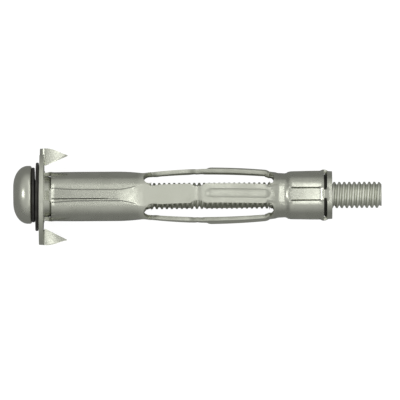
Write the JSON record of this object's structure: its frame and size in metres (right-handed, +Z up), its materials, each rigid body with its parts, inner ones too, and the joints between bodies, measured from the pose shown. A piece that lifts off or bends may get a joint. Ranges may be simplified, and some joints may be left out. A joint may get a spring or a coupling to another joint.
{
  "type": "hollow wall anchor",
  "caption": "Hollow wall anchor: folded sheet sleeve with bowed legs, clawed flange, captive nut and pan head machine screw with a black retaining washer.",
  "frame": {"origin": "on the anchor's axis, at the face of the flange that meets the wall", "axes": "+X along the axis, from the screw head into the wall; +Y towards one claw; +Z up, as the anchor lies"},
  "size_m": [0.0584, 0.0152, 0.0152],
  "materials": {
    "screw_steel": "bright zinc plated steel, cold headed and rolled, slightly yellow grey",
    "sheet_steel": "zinc plated steel sheet, satin, with fine press marks",
    "black_plastic": "soft black plastic, semi matte"
  },
  "bodies": {
    "sleeve": {"expansion_sleeve": "sheet_steel", "claw_flange": "sheet_steel", "threaded_nut": "screw_steel"},
    "washer": {"retaining_washer": "black_plastic"},
    "screw": {"machine_screw": "screw_steel"}
  },
  "joints": [
    {"name": "screw_travel", "type": "slide", "parent": "sleeve", "child": "washer", "axis": [-1, 0, 0], "range_m": [0, 0.0135]},
    {"name": "screw_turn", "type": "hinge", "parent": "washer", "child": "screw", "pos_m": [0, 0, 0], "axis": [-1, 0, 0], "range_deg": [0, 6123]}
  ],
  "couplings": [
    {"joint": "screw_turn", "follows": "screw_travel", "rad_per_m": 7915.8}
  ]
}
